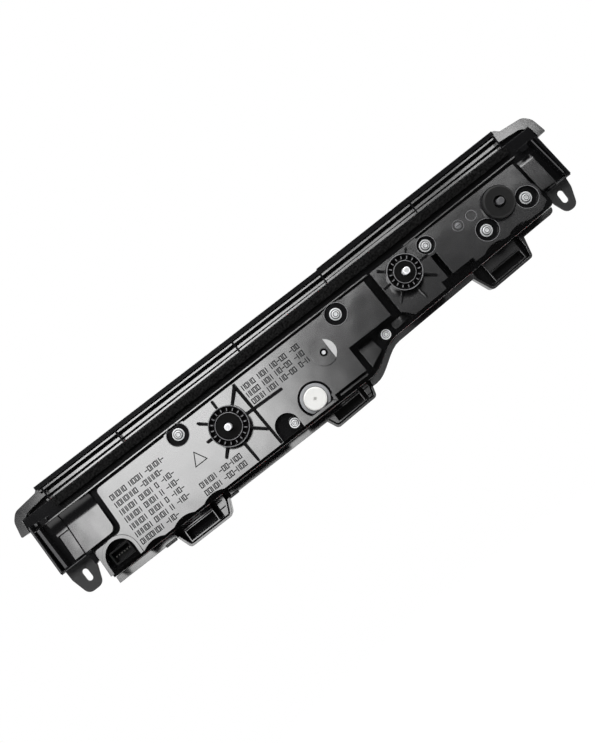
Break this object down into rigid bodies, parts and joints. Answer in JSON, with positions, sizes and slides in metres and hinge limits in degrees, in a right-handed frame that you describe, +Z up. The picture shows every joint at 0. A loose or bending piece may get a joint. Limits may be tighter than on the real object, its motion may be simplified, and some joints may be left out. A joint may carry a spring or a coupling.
{
  "type": "tail light cluster",
  "caption": "Long LED rear lamp for a car: black moulded housing with studs and rings behind, black bezel and lower cover, red lens with a clear window in front.",
  "frame": {"origin": "on the left mounting stud's axis, in the face of its rubber seal", "axes": "+X along the lamp to the right as seen from behind, +Z up towards the bezel, -Y the way the studs point, +Y the way the lens faces"},
  "size_m": [0.5968, 0.0879, 0.1294],
  "materials": {
    "housing_black": "injection-moulded black, satin, fine moulded texture",
    "lens_red": "deep red transparent acrylic, glossy",
    "lens_clear": "clear acrylic, glossy",
    "bezel_black": "moulded black, glossy outside, satin ledges",
    "cover_black": "injection-moulded black, satin",
    "ear_black": "glass-filled black, matte",
    "foam": "closed-cell foam, rough",
    "bead": "cured sealant",
    "seal_rubber": "moulded rubber, matte",
    "steel": "zinc-plated steel",
    "collar_grey": "grey moulded collar, satin",
    "vent_white": "white moulded vent cap",
    "connector_black": "black connector moulding",
    "pin_metal": "plated contact pins",
    "carrier_white": "white reflector carrier",
    "inner_red": "red fluted inner lens",
    "inner_clear": "clear fluted inner lens",
    "board_white": "circuit board with white solder mask",
    "led": "LED package",
    "sink_aluminium": "extruded aluminium"
  },
  "bodies": {
    "root": {"housing": "housing_black", "outer_lens": "lens_red", "reverse_window": "lens_clear", "bezel": "bezel_black", "lower_cover": "cover_black", "end_ear_left": "ear_black", "end_ear_right": "ear_black", "foam_seal": "foam", "lens_bead": "bead", "stud_left": "steel", "stud_mid": "steel", "stud_right": "steel", "stud_seal_left": "seal_rubber", "stud_seal_mid": "seal_rubber", "stud_grommet": "seal_rubber", "flange_screws": "steel", "small_screws": "steel", "vent_collar": "collar_grey", "vent_cap": "vent_white", "locating_pin": "steel", "connector_header": "connector_black", "connector_pins": "pin_metal", "inner_bracket": "carrier_white", "inner_lens_tail": "inner_red", "inner_lens_left": "inner_red", "inner_lens_right": "inner_red", "inner_lens_reverse": "inner_clear", "tail_board": "board_white", "stop_board": "board_white", "reverse_board": "board_white", "tail_leds": "led", "stop_leds": "led", "reverse_leds": "led", "heat_sink": "sink_aluminium"}
  },
  "joints": []
}
